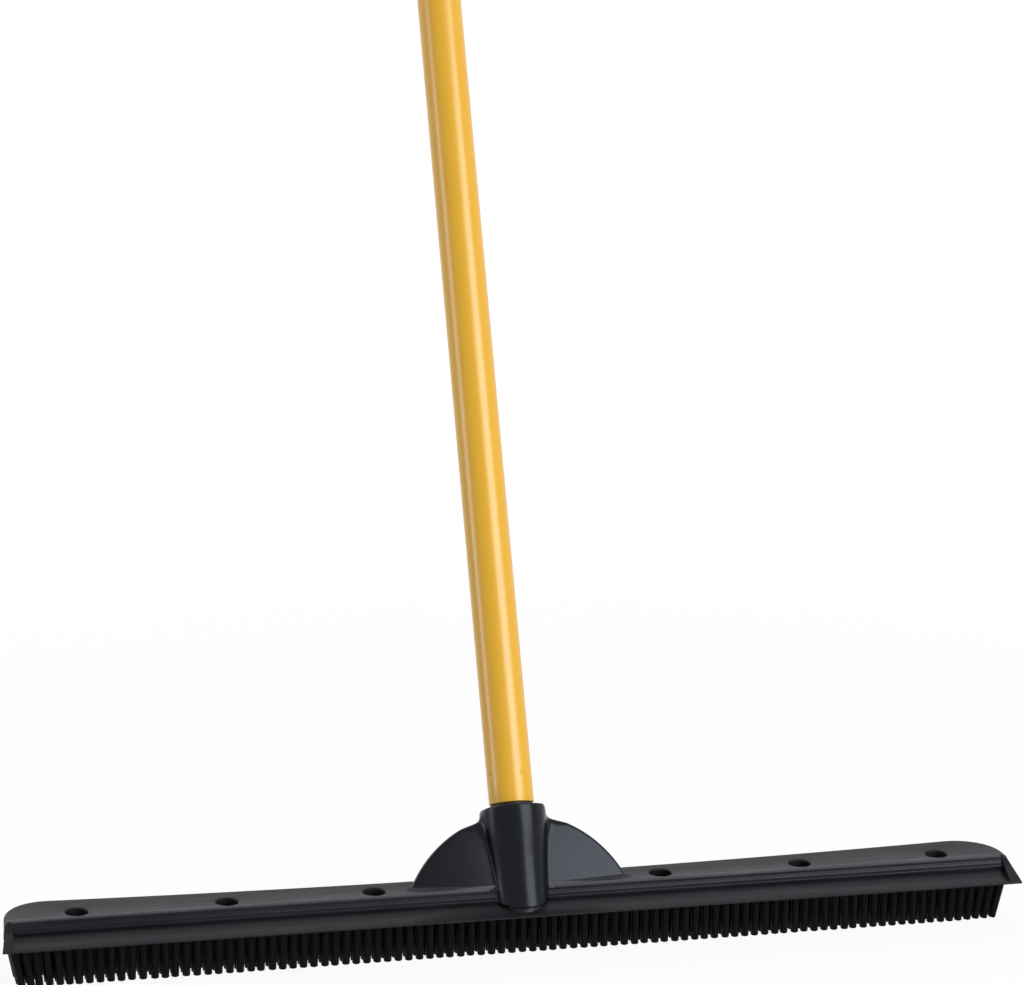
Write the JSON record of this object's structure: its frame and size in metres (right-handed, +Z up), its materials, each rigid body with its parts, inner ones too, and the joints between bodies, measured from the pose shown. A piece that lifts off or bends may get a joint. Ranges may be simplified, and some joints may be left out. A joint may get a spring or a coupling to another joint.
{
  "type": "rubber broom",
  "caption": "Wide rubber broom with moulded bristles, a squeegee blade along the front, a rigid half-moon hub and a long tube handle that screws into its leaning socket.",
  "frame": {"origin": "on the floor, in the plane of the bristle tips, under the middle of the head", "axes": "+Z up from the floor, +X along the head to the right as seen from the squeegee side, -Y towards the squeegee blade, so the handle leans towards +Y"},
  "size_m": [0.6, 0.6859, 1.447],
  "materials": {
    "yellow_coating": "glossy yellow coating on steel tube",
    "tip_plastic": "dark moulded plastic",
    "cap_plastic": "black moulded plastic",
    "hub_plastic": "black plastic with a satin sheen",
    "deck_rubber": "matt black rubber",
    "bristle_rubber": "matt black rubber"
  },
  "bodies": {
    "handle": {"handle_tube": "yellow_coating", "thread_tip": "tip_plastic", "hang_cap": "cap_plastic"},
    "head": {"socket_core": "hub_plastic", "rubber_deck": "deck_rubber", "bristle_pad": "bristle_rubber"}
  },
  "joints": [
    {"name": "handle_screw", "type": "hinge", "parent": "handle", "child": "head", "pos_m": [0, 0, 0.038], "axis": [0, -0.4226, -0.9063], "range_deg": [0, 1890]}
  ]
}
